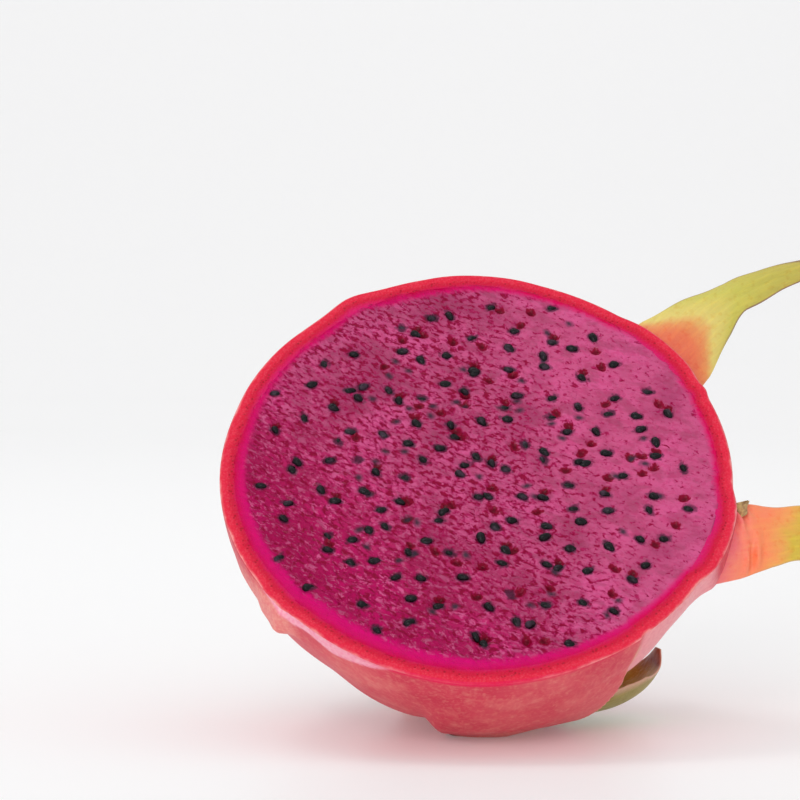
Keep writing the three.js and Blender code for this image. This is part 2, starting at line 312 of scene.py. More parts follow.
# %% Tables of scales
UPPER, SIDE, CUP, BROAD = range(4)
SHOWN = {
    UPPER: dict(root=(39, 4), cushion=(1.0, 12), path=[
        (-3, -3, -2, 9.8, 3, 0.02), (3, 3, 2.5, 8.6, 3, 0.02), (9, 6.5, 8, 6, 2.6, 0.03),
        (15, 9, 12.2, 3.7, 2.2, 0.05), (22, 11, 15.4, 3.1, 1.8, 0.08), (30, 12, 18.2, 2, 1.3, 0.1),
        (36, 11, 21.4, 0.8, 1, 0.1)]),
    SIDE: dict(root=(-19, 4), cushion=(1.4, 12), path=[
        (-3, -2, 1.6, 8.2, 3.2, 0.02), (3, 2, 1.4, 7.2, 3, 0.02), (9, 4, 1.9, 5.9, 2.6, 0.02),
        (16, 6, 2.2, 5.3, 2.2, 0.02), (23, 8, 1.8, 4.8, 1.8, 0.03), (29, 10, 1.2, 3.2, 1.4, 0.05),
        (34, 12, 0, 0.9, 1, 0.05)]),
    CUP: dict(root=(-62, 36), cushion=(0, 12), facing=(0.15, -0.06, -0.99), path=[
        (-5.5, -0.6, -1.3, 6, 2, 0.05), (0.5, 1.4, -2.4, 7.5, 2, 0.085), (6.5, 3.9, -2.6, 8, 1.6, 0.1),
        (12.5, 6.4, -1.5, 8.2, 1.4, 0.11), (17.3, 8.4, 1.2, 7.8, 1.2, 0.1), (19.9, 9.4, 4.8, 5.4, 1, 0.06),
        (20.9, 9.5, 8.4, 1.4, 0.9, 0)]),
    BROAD: dict(root=(-76, 4), cushion=(0, 12), path=[
        (0.2, -6.3, 6.5, 17, 1.8, 0.021), (-0.2, 0.5, 0.6, 16.6, 1.8, 0.026),
        (-0.9, 6.7, -4, 14.6, 1.9, 0.034), (-2.2, 15.6, -8.7, 13, 2.1, 0.04),
        (-2.7, 28.9, -11.7, 14.8, 2.2, 0.016), (-2.5, 45.9, -11.7, 13, 2.4, 0.008),
        (-3, 57.9, -11.8, 8.5, 1.8, 0.003), (-3.4, 67.4, -12, 1.5, 1, 0)]),
}
# angle, depth, length, half width, how far the tip is lifted off, cushion's height and half width; the
# first is the stub that the knife left, which the skin makes itself
RULED = [
    (-132, 1, 9, 14, -3, 0, 12),
    (88, 17, 34, 10, 5), (148, 20, 34, 10, 5), (-172, 26, 30, 9, 2), (5, 26, 30, 9, 7),
    (-118, 38, 34, 9, 6), (-95, 41, 30, 8, 2),
    (-32, 42, 30, 7.5, 5), (28, 41, 34, 8, 11), (72, 40, 32, 7.5, 9), (122, 41, 34, 8, 8),
    (175, 42, 30, 7.5, 6),
]


def root_frame(phi, depth):
    """Root point, outward normal, the way to the flower end and the way round, on the plain skin."""
    point, normal = skin_point(phi, latitude(depth))
    ahead, _ = skin_point(phi, latitude(depth) + 1)
    along = unit(ahead - point)
    return point, normal, along, np.cross(normal, along)


def ruled_scale(row, index):
    """A scale of the rule: it follows the skin, then leaves it by the square of the way along."""
    phi, depth, length, half, lift = row[:5]
    cushion = row[5:] if len(row) > 5 else (1.1, half * 1.2)
    _, normal, along, side = root_frame(phi, depth)
    lean = (draw(index + 40) - 0.5) * 8
    path = []
    for t, wide in zip((-0.12, 0.1, 0.35, 0.6, 0.82, 1), (1, 1, 0.86, 0.62, 0.36, 0.12)):
        out = lift * t * t - 2.4 * smooth((0.22 - t) / 0.34) + 0.4 + length * 0.22 * max(0, t - 0.25)
        p = along * length * t * (1 - 0.12 * t) + normal * out + side * lean * t * t
        path.append((*p, half * wide, 3 - 2 * max(0, t), 0.025 + 0.03 * max(0, t)))
    return dict(root=(phi, depth), cushion=cushion, path=path)


SCALES = list(SHOWN.values()) + [ruled_scale(row, k) for k, row in enumerate(RULED)]
STUB = len(SHOWN)
print(len(SCALES), "scales")

# %% [markdown]
# ## A scale as a bent blade
# A scale is thick and pink where it leaves the skin, and thins to a green, then dry and purple, tip. The
# midline is a smooth curve through the table's points. Across it runs a lens-shaped section that is
# curled, and a vector that is carried along the midline without twisting keeps the section upright. On
# top of that come a folded crease along the middle, wavy edges and the wrinkles of a drying base.

# %% Blade formula
def curve_through(points, t):
    """A curve through the points, at t from 0 to 1: a cubic for each span.

    Its slope at a point comes from the spans on both sides, each weighed by the root of its length.
    """
    p = np.vstack([2 * points[0] - points[1], points, 2 * points[-1] - points[-2]])
    spans = len(points) - 1
    i = np.minimum((t * spans).astype(int), spans - 1)
    f = (t * spans - i)[:, None]
    knots = [p[i + k] for k in range(4)]
    step = [np.maximum(np.linalg.norm(knots[k + 1] - knots[k], axis=1, keepdims=True) ** 0.5, 1e-6)
            for k in range(3)]
    out, into = ((knots[k + 1] - knots[k]) / step[k] - (knots[k + 2] - knots[k]) / (step[k] + step[k + 1])
                 + (knots[k + 2] - knots[k + 1]) / step[k + 1] for k in (0, 1))
    out, into = out * step[1], into * step[1]
    c = -3 * knots[1] + 3 * knots[2] - 2 * out - into
    d = 2 * knots[1] - 2 * knots[2] + out + into
    return knots[1] + out * f + c * f ** 2 + d * f ** 3


def section(count):
    """Round a blade's section: -1 to 1 across it and back, 1 or -1 for the face, and the lens's height."""
    s = np.linspace(0, 2 * np.pi, count, endpoint=False)
    q = -np.cos(s)
    q = np.sign(q) * np.abs(q) ** 0.85
    return q, np.where(np.sin(s) >= -1e-9, 1.0, -1.0), np.abs(np.sin(s)) ** 0.5


CUT_CLEAR = 0.45  # from the plane of the cut


def keep_outside(points):
    """Moves points that stand before the cut to just behind it, and points in the flesh out to the rind."""
    d = points - CENTRE
    depth = np.maximum(d @ AXIS, CUT_CLEAR)
    x, y = d @ RIGHT, d @ UP
    r = np.maximum(np.hypot(x, y), 1e-6)
    wall = rim_radius(np.degrees(np.arctan2(y, x))) - RIND
    wall = wall * np.sqrt(np.clip(1 - (depth / (FLESH_DEPTH + GAP)) ** 2, 0, 1)) + 0.5
    out = np.maximum(wall / r, 1)
    return CENTRE + depth[..., None] * AXIS + (x * out)[..., None] * RIGHT + (y * out)[..., None] * UP


def blade(scale, stations=72, around=56, start=0.0, wave=0.35, crease=0.25, wrinkle=0.0, nibble=0.05,
          phase=0.0):
    """Rings of a bent blade, and what its material reads: along, across, outer and a flat map.

    Each face lies half a lens's thickness off the midline. The section sinks by the curl times the square
    of the way across, sways in waves that grow with its cube, folds along the middle by the crease, and has
    short folds near the base by the wrinkle. The nibble takes bites out of the edges.
    """
    root, normal, _, _ = root_frame(scale["root"][0], max(0, scale["root"][1]))
    rows = np.array(scale["path"])
    t = start + (1 - start) * np.linspace(0, 1, stations)
    line = curve_through(rows[:, :3] + root, t)
    along = unit(np.gradient(line, axis=0))
    place_in = t * (len(rows) - 1)
    half, thick, curl = (np.interp(place_in, np.arange(len(rows)), rows[:, c]) for c in (3, 4, 5))
    n = np.array(scale["facing"]) if "facing" in scale else normal - AXIS
    up = np.zeros_like(line)
    for k in range(stations):
        n = unit(n - np.dot(n, along[k]) * along[k])
        up[k] = n
    side = np.cross(along, up)
    q, face, rim = section(around)
    tt = t[:, None]
    grow = smooth((tt - 0.15) / 0.4)
    sway = wave * grow * np.abs(q) ** 3 * np.sin(2 * np.pi * (2.6 * tt + 0.23 * np.sign(q) + phase))
    bites = 1 + np.sin(2 * np.pi * (4.3 * tt + 0.4 * np.sign(q) + phase))
    width = half[:, None] * (1 - nibble * grow * bites)
    fold = -crease * bump_at(q, 0.08, 0.1) * smooth(tt * 4) * smooth((1 - tt) * 3)
    folds = np.sin(2 * np.pi * (14 * tt + 1.3 * np.abs(q - 0.1) + 0.3 * np.sin(4 * q + 1)))
    folds = folds * wrinkle * bump_at(tt, 0.22, 0.06) * (0.55 + 0.45 * np.sin(4 * q + 22 * tt))
    edge = thick[:, None] * (1 - 0.55 * q ** 2)
    sink = curl[:, None] * half[:, None] ** 2 * q ** 2 * 0.5
    lift = -sink + sway + fold + folds * (1 - q ** 4)
    mid = line[:, None] + side[:, None] * (q * width)[..., None] + up[:, None] * lift[..., None]
    mid[..., 2] = np.maximum(mid[..., 2], edge / 2 - 0.12)
    points = keep_outside(mid + up[:, None] * (face * rim * edge / 2)[..., None])
    points[..., 2] = np.maximum(points[..., 2], 0.0)
    ones = np.ones_like(tt * q)
    length = np.concatenate([[0], np.cumsum(np.linalg.norm(np.diff(line, axis=0), axis=1))])
    flat = np.stack([q * half[:, None], length[:, None] * ones], -1) / 100
    outer = (0.5 + 0.5 * face * rim) * ones
    return points, {"along": tt * ones, "across": q * ones, "outer": outer, "flat": flat}


# %% [markdown]
# ## Skin that swells towards each scale
# Between the scales the skin isn't a plain shell. It swells towards every root like a cushion and drops
# behind it, so that neighbours leave creases. The broad scale below is grown onto the skin for most of its
# length, so the skin itself makes its front part: it steps down at its right edge and fades out at the
# left. At the lower left the knife left the stub of a scale, a lip that is thickest a little behind the
# rim, and at the upper left the rim flares out a little.

# %% Relief of the skin
roots = [(s, *root_frame(s["root"][0], max(0, s["root"][1]))) for s in SCALES]
RISE_LONG, DROP_LONG, CUSHION_REACH = 26, 9, 40
BROAD_R = 40  # how far from the axis the broad scale's edge runs


def swelling(points):
    """Height of the cushions: the largest of the ramps that lead to the roots."""
    most = np.zeros(points.shape[:-1])
    for scale, root, _, along, side in roots:
        height, half = scale["cushion"]
        d = points - root
        x, y = d @ along, d @ side / half
        ramp = np.where(x < 0, smooth(1 + x / RISE_LONG), smooth(1 - x / DROP_LONG))
        here = height * ramp * np.clip(1 - y ** 4, 0, 1) ** 2
        most = np.maximum(most, np.where(np.linalg.norm(d, axis=-1) < CUSHION_REACH, here, 0))
    return most


def past_edge(phi, depth):
    """Millimetres round the skin past the broad scale's right edge, whose angle changes with the depth."""
    edge = np.interp(depth, [0, 4, 10, 17, 22, 28, 36], [-52.5, -53, -54, -55, -57, -60, -63])
    return np.radians(phi - edge) * BROAD_R


def broad_part(phi, depth):
    """Height of the grown-on part: a swell along the depth, more towards its right edge, then a step."""
    step = smooth(0.5 - past_edge(phi, depth) / 0.9)
    left = smooth((phi + 105) / (14 - 8 * smooth(depth / 22)))
    swell = np.interp(depth, [0, 4, 10, 20, 28, 35], [0.15, 0.35, 0.8, 2.2, 2.4, 2.4])
    lean = np.interp(depth, [0, 10, 20, 26, 34.5], [0.3, -0.2, 0.4, 1.8, 3.6])
    right = np.clip((phi + 82) / 27, 0, 1.2) ** 2
    return np.maximum(swell + lean * right, 0.3) * step * left * smooth((45 - depth) / 7)


def stub_part(phi, depth):
    """Height of the stub: a profile round the rim times a ramp that rises slowly and drops at its lip."""
    round_rim = np.interp(phi, [-162, -156, -148, -145, -142, -139.7, -138.6, -136.7, -133],
                          [0, 0.5, 0.8, 1.6, 1.95, 2.5, 2.4, 0.9, 0])
    back = np.interp(depth, [0, 2, 6, 7, 9], [0.15, 0.6, 1, 0.85, 0])
    return round_rim * back


def small_forms(phi, depth):
    """A knob behind the rim at the right, a flare at the upper left, hollows beside the broad scale."""
    knob = 0.9 * bump_at(phi, 24, 2.0) * bump_at(depth, 2.2, 2.6)
    hollow = 0.8 * bump_at(phi, -36.5, 7) * bump_at(depth, 13, 7)
    hollow = hollow + 0.8 * bump_at(phi, -129, 9) * bump_at(depth, 19.5, 8)
    flare = 1.2 * bump_at(phi, 120, 6) + 0.8 * bump_at(phi, 146, 18)
    return knob - hollow + flare * bump_at(depth, 0, 9)


print("stub stands out", stub_part(-139.7, 6.0).round(2), "mm")

# %% Points of the scales
OPTIONS = {
    UPPER: dict(wave=0.25, crease=0.55),
    SIDE: dict(stations=150, wave=0.5, crease=0.2, wrinkle=1.0),
    CUP: dict(start=0.12, wave=0.0, crease=0.0, nibble=0.0),
    BROAD: dict(start=0.44, wave=0.2),
}
blades = [blade(scale, phase=float(draw(k + 7)), **OPTIONS.get(k, {})) for k, scale in enumerate(SCALES)]
print("right scale:", len(blades[SIDE][0]), "rings")

# %% [markdown]
# ## The skin and the cut rind
# One closed grid makes the whole peel: from the flower end forward over the outside, round the cut edge,
# across the cut ring of rind, down the inner wall and closed again deep inside. Where a scale leaves the
# skin, the skin rises a little towards it, as a fillet does, so that the two read as one growth.

# %% Skin grid
COLUMNS = 600
phi = np.arange(COLUMNS) * 360 / COLUMNS
phi = np.where(phi > 180, phi - 360, phi)

ROOT_RINGS = 30
ROOTED = [k for k in range(len(SCALES)) if k not in (BROAD, CUP, STUB)]
root_points = np.vstack([blades[k][0][:ROOT_RINGS].reshape(-1, 3) for k in ROOTED])
tree = KDTree(len(root_points))
for i, p in enumerate(root_points):
    tree.insert(Vector(p), i)
tree.balance()

FILLET, FILLET_REACH = 0.9, 1.7
lats = np.concatenate([np.linspace(89.2, 40, 60), np.linspace(39.3, 0.6, 60)])
outer_rows = []
for lat in lats:
    point, normal = skin_point(phi, np.full(COLUMNS, lat))
    depth = (point - CENTRE) @ AXIS
    height = np.maximum(swelling(point), broad_part(phi, depth))
    height = height + stub_part(phi, depth) + small_forms(phi, depth)
    point = point + normal * height[:, None]
    near = np.array([tree.find(Vector(p))[2] for p in point])
    rise = FILLET * np.exp(-(near / FILLET_REACH) ** 1.5) * smooth(depth / 5 - 0.3)
    point = point + normal * rise[:, None]
    point[:, 2] = np.maximum(point[:, 2], 0.0)
    outer_rows.append(point)
outer_rows = np.array(outer_rows)
print("lowest point of the skin", outer_rows[..., 2].min(), "mm")

# %% Cut ring and inner wall
EDGE_ROUND = [(0.05, 0.35), (0.2, 0.12), (0.4, 0.02)]  # inset and depth where the knife's edge is rounded
WALL_START = [(0.13, 0.02), (0.14, 0), (0.5, 0), (1.2, 0), (3, 0)]  # depth and place off the inner wall
rim = rim_radius(phi)
rim_now = np.hypot((outer_rows[-1] - CENTRE) @ RIGHT, (outer_rows[-1] - CENTRE) @ UP)
grain = np.random.default_rng(5).normal(size=(14, COLUMNS))
grain = (grain + np.roll(grain, 1, 1) + np.roll(grain, -1, 1)) / 3
cut_rows = [place(phi, depth, rim_now - inset) for inset, depth in EDGE_ROUND]
flat_from, level = EDGE_ROUND[-1]
ring_r = rim_now - flat_from
for k, share in enumerate(np.linspace(0.06, 0.96, 12)):
    r = ring_r - share * (ring_r - (rim - RIND))
    cut_rows.append(place(phi, level + 0.1 * share + 0.05 * np.abs(grain[k]) * (1 - share), r))
cut_rows += [place(phi, depth, rim - RIND + out) for depth, out in WALL_START]


def cavity(angle, lat, back):
    """Inside of the rind, or the flesh behind it when back is the gap."""
    r = rim_radius(angle) - RIND - back
    return place(angle, (FLESH_DEPTH + GAP - back) * np.sin(np.radians(lat)), r * np.cos(np.radians(lat)))


inner_rows = [cavity(phi, lat, 0) for lat in (8, 20, 34, 48, 62, 75, 86)]
rows = np.concatenate([outer_rows, cut_rows, inner_rows])
print(len(rows), "rings make the skin, the cut ring and the inner wall")

# %% [markdown]
# The skin's paint follows its places: a pale stripe between the cut and the broad scale, a whitish band
# where the knife shaved the rim, the tan stub, a thin yellow line along the broad scale's edge and the
# deeper pink of the far end. Each is a number from 0 to 1 on the points.

# %% Where the paint goes
INSET_SPAN = 10  # mm in from the rim that the stored 0 to 1 covers
is_outer = np.concatenate([np.ones(len(outer_rows)), np.zeros(len(cut_rows) + len(inner_rows))])[:, None]
middle = rows - CENTRE
depths = middle @ AXIS
from_axis = np.hypot(middle @ RIGHT, middle @ UP)
angles = np.broadcast_to(phi, depths.shape)
inset = np.clip(rim_now - from_axis, 0, INSET_SPAN) / INSET_SPAN * (1 - is_outer)
arc = past_edge(angles, depths)
shaved = np.interp(angles, [-147, -139.5, -135.4, -130.4, -124.3, -119.2, -114.1, -109],
                   [0, 1, 2.6, 2.2, 4, 3, 2, 0])
paint = {
    "cut": 1 - is_outer,
    "inset": inset,
    "pale": is_outer * smooth(arc / 1.2) * smooth((-24 - angles) / 6) * smooth((36 - depths) / 8),
    "shaved": is_outer * smooth((shaved - depths) / 0.7 + 0.5) * (shaved > 0.05),
    "tan": is_outer * smooth(stub_part(angles, depths) / 0.8),
    "line": is_outer * bump_at(arc, 0.15, 0.55) * smooth((depths - 2.5) / 3) * smooth((34 - depths) / 4),
    "far": smooth((depths - 24) / 20) * (1 - bump_at(angles, -85, 45) * smooth((44 - depths) / 6)),
    "wet": smooth((1.3 - depths) / 0.5) * smooth((0.06 - inset) / 0.03) * bump_at(angles, -92, 24),
    "step": is_outer * bump_at(arc, 0.9, 0.7) * smooth((depths - 8) / 8) * smooth((36 - depths) / 4),
}
POLES = {"cut": (1, 0), "inset": (1, 0), "far": (1, 1)}  # inner pole, pole at the flower end
print("paint:", *paint)


# %% [markdown]
# ## One colouring for the whole cut
# The knife went through skin, rind and flesh alike, so their cut colours run into each other. Both pieces
# store how far a point lies in from the rim, and one function turns that into colour: a pale line, grainy
# coral, a row of dark red vessels, hot crimson, and then the magenta margin of the flesh.

# %% Cut colours
def cut_colour(m, at):
    """Ramp over the distance from the rim, wobbled by noise, with grains and vessels in it."""
    inset = m.plus(m.read("inset"), m.swing(m.noise(at, 260, 3, 0.6), 0.13))
    tone = m.ramp(inset, [
        (0.0, (246, 150, 150)), (0.02, (234, 88, 100)), (0.045, (230, 36, 68)), (0.13, (226, 28, 64)),
        (0.19, (208, 10, 54)), (0.245, (208, 0, 60)), (0.3, (212, 2, 84)), (0.38, (216, 6, 104)),
        (0.7, (212, 8, 104))])
    grains = m.cells(at, 2300)
    coral = m.ramp(inset, [(0.02, 0), (0.05, 1), (0.15, 1), (0.21, 0.2), (0.3, 0)])
    tone = m.mix(m.times(m.ramp(grains, [(0.1, 0.36), (0.55, 0)]), coral), tone, (234, 84, 102))
    tone = m.mix(m.times(m.ramp(grains, [(0.5, 0), (0.8, 0.35)]), coral), tone, (212, 18, 50))
    vessels = m.times(m.ramp(m.cells(at, 1250), [(0.22, 1), (0.34, 0)]),
                      m.ramp(inset, [(0.14, 0), (0.17, 0.8), (0.24, 0.8), (0.28, 0)]))
    return m.mix(vessels, tone, (165, 0, 34)), grains


# %% Skin and rind material
m = Nodes("skin", Roughness=0.46, IOR=1.42, Specular_IOR_Level=0.25, Subsurface_Weight=0.15,
          Subsurface_Radius=(0.004, 0.0012, 0.001), Subsurface_Scale=0.5)
at = m.coords()
blotch = m.noise(at, 60, 4, 0.6)
mottle = m.noise(at, 190, 4, 0.65)
dots = m.noise(at, 620, 3, 0.6)
fine = m.noise(at, 1500, 2, 0.5)
skin = m.ramp(blotch, [(0.32, (206, 48, 76)), (0.5, (216, 68, 88)), (0.68, (226, 98, 106))])
skin = m.mix(m.ramp(mottle, [(0.5, 0), (0.72, 0.4)]), skin, (236, 150, 136))
skin = m.mix(m.ramp(dots, [(0.55, 0), (0.8, 0.32)]), skin, (236, 172, 146))
skin = m.mix(m.ramp(fine, [(0.52, 0), (0.72, 0.2)]), skin, (238, 170, 150))
skin = m.mix(m.ramp(fine, [(0.3, 0.2), (0.46, 0)]), skin, (206, 52, 84))
for key, amount, tone in (
        ("far", 0.75, m.two_tone(mottle, (198, 34, 62), (222, 74, 92))),
        ("step", 0.7, (226, 84, 98)),
        ("pale", 0.9, m.two_tone(fine, (244, 156, 166), (252, 174, 178))),
        ("tan", 0.8, m.two_tone(fine, (238, 136, 136), (244, 166, 152))),
        ("line", 0.6, (240, 206, 160)),
        ("shaved", 0.95, m.two_tone(fine, (250, 156, 184), (255, 188, 204)))):
    skin = m.mix(m.times(m.read(key), amount), skin, tone)
rind, grains = cut_colour(m, at)
cut = m.read("cut")
relief = m.bump(m.plus(mottle, m.times(dots, 0.5)), 0.25, 0.0005)
relief = m.bump(grains, m.times(cut, 0.35), 0.0004, relief)
tone = m.mix(m.times(m.read("wet"), 0.85), m.mix(cut, skin, rind), (228, 10, 80))
skin_material = m.finish(Base_Color=tone, Normal=relief)

# %% Skin piece
points, quads, tris = closed_tube(rows[::-1])
paint = {key: np.append(np.broadcast_to(value, depths.shape)[::-1].ravel(), POLES.get(key, (0, 0)))
         for key, value in paint.items()}
make_piece("skin_and_rind", points, quads, tris, skin_material, "peel", paint)

# %% [markdown]
# ## Scale finish
# Along a scale the colour runs from the skin's pink through orange to yellow-green and ends in a dry,
# purple-brown tip. One edge is a little ahead of the other in this. The edges carry a thin dry line, and
# fine ribs follow the scale's length, so they are drawn on a flat map of the blade.

# %% Scale material
def scale_material(name, stops, inner, rim_line, ahead=0.0, blotchy=0.2, line_from=0.9, edges=0.0):
    """Colour stops over the length; inner stops for the face that looks at the fruit; the edge's colour.

    The colours run ahead on one edge, blotchy breaks their borders, edges ages both edges, and line_from
    is how far across the dry line starts.
    """
    m = Nodes(name, Roughness=0.44, IOR=1.42, Subsurface_Weight=0.12,
              Subsurface_Radius=(0.003, 0.002, 0.001), Subsurface_Scale=0.5, Coat_Weight=0.08,
              Coat_Roughness=0.3)
    at = m.coords()
    along = m.read("along")
    across = m.read("across")
    where = m.plus(along, m.swing(m.noise(at, 110, 4, 0.6), blotchy))
    where = m.math("SUBTRACT", where, m.times(across, ahead))
    where = m.plus(where, m.times(m.times(across, across), edges))
    ribs = m.noise(m.uv(), 130, 3, 0.6, (1, 0.13, 1))
    fine = m.noise(at, 900, 2, 0.5)
    tone = m.ramp(where, stops)
    tone = m.mix(m.ramp(ribs, [(0.46, 0), (0.66, 0.3)]), tone, (252, 232, 190), "SOFT_LIGHT")
    tone = m.mix(m.ramp(fine, [(0.3, 0.3), (0.45, 0)]), tone, (150, 70, 60), "SOFT_LIGHT")
    inside = m.ramp(m.read("outer"), [(0.42, 1), (0.5, 0)])
    tone = m.mix(inside, tone, m.ramp(where, inner))
    edge = m.times(m.ramp(m.math("ABSOLUTE", across), [(line_from, 0), (0.99, 1)]),
                   m.ramp(along, [(0.22, 0), (0.4, 0.85)]))
    relief = m.bump(m.plus(m.times(ribs, 0.7), m.times(fine, 0.3)), 0.4, 0.0005)
    relief = m.bump(m.noise(at, 330, 3, 0.55), 0.45, 0.0009, relief)
    return m.finish(Base_Color=m.mix(edge, tone, rim_line), Normal=relief)


def join_blades(name, which, material):
    """Several blades as one piece, with the values that their material reads."""
    values = {key: np.concatenate([with_ends(blades[k][1][key]) for k in which]) for key in blades[0][1]}
    flat = values.pop("flat")
    make_piece(name, *joined(blades[k][0] for k in which), material, "peel", values, flat)


# %% Scale pieces
upper_look = scale_material(
    "upper_scale",
    [(0.0, (226, 84, 84)), (0.08, (232, 100, 82)), (0.21, (234, 120, 80)), (0.28, (232, 150, 90)),
     (0.34, (226, 206, 116)), (0.5, (204, 196, 88)), (0.86, (188, 174, 78)), (0.97, (112, 70, 60))],
    [(0.1, (206, 170, 86)), (0.6, (180, 166, 70)), (0.95, (116, 76, 62))],
    (128, 82, 84), ahead=0.03, blotchy=0.14, line_from=0.93, edges=0.16)
side_look = scale_material(
    "side_scale",
    [(0.0, (232, 92, 116)), (0.12, (246, 112, 120)), (0.2, (254, 136, 112)), (0.3, (254, 140, 94)),
     (0.38, (244, 160, 90)), (0.47, (216, 184, 66)), (0.6, (204, 188, 66)), (0.95, (150, 120, 70))],
    [(0.1, (224, 110, 110)), (0.6, (214, 180, 80)), (0.95, (130, 90, 64))],
    (206, 176, 120), ahead=-0.06, blotchy=0.24, line_from=0.95)
green_look = scale_material(
    "cup_scale",
    [(0.0, (206, 112, 92)), (0.14, (164, 146, 82)), (0.4, (168, 160, 90)), (0.75, (164, 152, 82)),
     (0.95, (170, 132, 92))],
    [(0.2, (150, 112, 72)), (0.32, (166, 138, 60)), (0.44, (190, 188, 30)), (0.78, (190, 180, 30)),
     (0.88, (146, 86, 44)), (0.97, (170, 120, 80))],
    (230, 186, 164), blotchy=0.12, line_from=0.82)
pink_look = scale_material(
    "pink_scale",
    [(0.0, (206, 50, 76)), (0.2, (214, 62, 84)), (0.42, (222, 84, 92)), (0.62, (220, 116, 96)),
     (0.78, (176, 150, 84)), (0.9, (150, 128, 76)), (0.97, (118, 78, 66))],
    [(0.1, (210, 60, 84)), (0.6, (168, 140, 72)), (0.95, (110, 76, 56))],
    (128, 84, 78), blotchy=0.26)
join_blades("upper_right_scale", [UPPER], upper_look)
join_blades("right_scale", [SIDE], side_look)
join_blades("lower_right_scale", [CUP], green_look)
join_blades("broad_scale", [BROAD], pink_look)
join_blades("hidden_scales", list(range(STUB + 1, len(SCALES))), pink_look)

# %% [markdown]
# Where the right scale leaves the rim, a shred of its edge has dried to a small curled flake.

# %% Dried flake
FOOT_RING = 25
FLAKE_LONG, FLAKE_HALF = 5.2, 2.0
foot = blades[SIDE][0][FOOT_RING, 0] - np.array([0.4, 0.7, 3.4])
s = np.linspace(0, 1, 24)[:, None]
q, face, rim_q = section(20)
spine = foot + s * FLAKE_LONG * unit(np.array([0.55, -0.1, 0.8])) + s ** 2 * np.array([1.1, 0.4, -0.6])
half = FLAKE_HALF * np.sin(np.pi * (0.18 + 0.78 * s)) * (1 + 0.18 * np.sin(9 * s + 3))
curl = 0.35 * np.sin(5 * q + 7 * s) + 0.25 * face * rim_q
flake = spine[:, None] + (half * q)[..., None] * np.array([0.75, -0.5, -0.35]) \
    + curl[..., None] * np.array([0.1, -0.9, 0.3])
points, quads, tris = closed_tube(flake)
m = Nodes("dried_flake", Roughness=0.7)
fibre = m.noise(m.coords(), 700, 4, 0.7)
dry = m.ramp(fibre, [(0.35, (150, 112, 74)), (0.55, (206, 176, 118)), (0.7, (190, 184, 110))])
flake_material = m.finish(Base_Color=dry, Normal=m.bump(fibre, 0.6, 0.0004))
make_piece("dried_flake", keep_outside(points), quads, tris, flake_material, "peel")

# %% [markdown]
# ## Places of the seeds
# The seeds sit on an even spiral and each is moved off its place by a seeded draw, which is how the solids
# place them. A few more places, drawn apart from the seeds, are pits that a seed has left, and soft grey
# spots where a seed lies just under the surface.

# %% Seed places
SEEDS = 150
SEED_FIELD = 40.5
SEED = (2.5, 1.6, 1.5)  # length, width and thickness
SEED_PROUD = 0.5
SEED_SHIFT = 2.3
GOLDEN_ANGLE = 2.39996  # radians
PIT_FIELD = 39.5
i = np.arange(SEEDS)
far = SEED_FIELD * ((i + 0.5) / SEEDS) ** 0.54
seed_x = far * np.cos(i * GOLDEN_ANGLE + 0.3) + (draw(i) - 0.5) * 2 * SEED_SHIFT
seed_y = far * np.sin(i * GOLDEN_ANGLE + 0.3) + (draw(i + 500) - 0.5) * 2 * SEED_SHIFT
seed_at = np.stack([seed_x, seed_y], 1)
seed_turn = np.radians(-25 + (draw(i + 900) - 0.5) * 110)
seed_size = 0.85 + 0.3 * draw(i + 1300)  # times the usual length and width
seed_sink = 0.15 + 0.62 * draw(i + 2500) ** 2.2


def spare_places(count, first, clear):
    """Drawn places on the face that stay clear of the seeds and of each other."""
    found = []
    k = first
    while len(found) < count:
        r, a = PIT_FIELD * np.sqrt(draw(k)), 2 * np.pi * draw(k + 0.5)
        x, y = r * np.cos(a), r * np.sin(a)
        k += 1
        others = np.array([*seed_at, *found])
        if np.hypot(others[:, 0] - x, others[:, 1] - y).min() > clear:
            found.append((x, y))
    return np.array(found)


# both kinds are crowded a little to the right, and every sixth seed has a pit beside it
pits = spare_places(52, 3000, 2.1) * [0.86, 1] + [5, 0]
buried = spare_places(50, 6000, 2.0) * [0.8, 1] + [6, 0]
beside = seed_at[::6] + np.array([0.25, 1.35])
print(SEEDS, "seeds,", len(pits) + len(beside), "pits,", len(buried), "buried seeds")

# %% [markdown]
# ## The cut flesh
# The face is a square grid pressed into a disc, which keeps all its cells nearly equal, with the outline of
# the rind's inside. The knife drags the juice cells into short slanting streaks that lie flatter at the
# right. A flat map that is bent to that slant turns them into level streaks, so both the relief of the mesh
# and the finer clefts of the material are noise that is only stretched along one axis of that map.

# %% Flesh grid
SIDE_N = 290
u, v = np.meshgrid(np.linspace(-1, 1, SIDE_N), np.linspace(-1, 1, SIDE_N), indexing="ij")
sideways = np.abs(u) >= np.abs(v)
radius = np.where(sideways, u, v)
angle = np.where(sideways, np.pi / 4 * v / np.where(u == 0, 1, u),
                 np.pi / 2 - np.pi / 4 * u / np.where(v == 0, 1, v))
disc_x, disc_y = radius * np.cos(angle), radius * np.sin(angle)
disc_phi = np.degrees(np.arctan2(disc_y, disc_x))
disc_r = np.hypot(disc_x, disc_y)
UNDER_RIND = 0.32  # the flesh's edge goes this far below the rind
edge_r = rim_radius(disc_phi) - RIND + UNDER_RIND
face_x = disc_x * edge_r
face_y = disc_y * edge_r
from_rim = np.interp(disc_phi, phi, rim_now, period=360) - disc_r * edge_r

SLANT_LEFT, SLANT_RIGHT, HALF_FACE = 30.0, 10.0, 45.0
steep, gentle = np.tan(np.radians(SLANT_LEFT)), np.tan(np.radians(SLANT_RIGHT))
run = face_x + HALF_FACE
bent_y = face_y + steep * run + (gentle - steep) * run ** 2 / (4 * HALF_FACE)


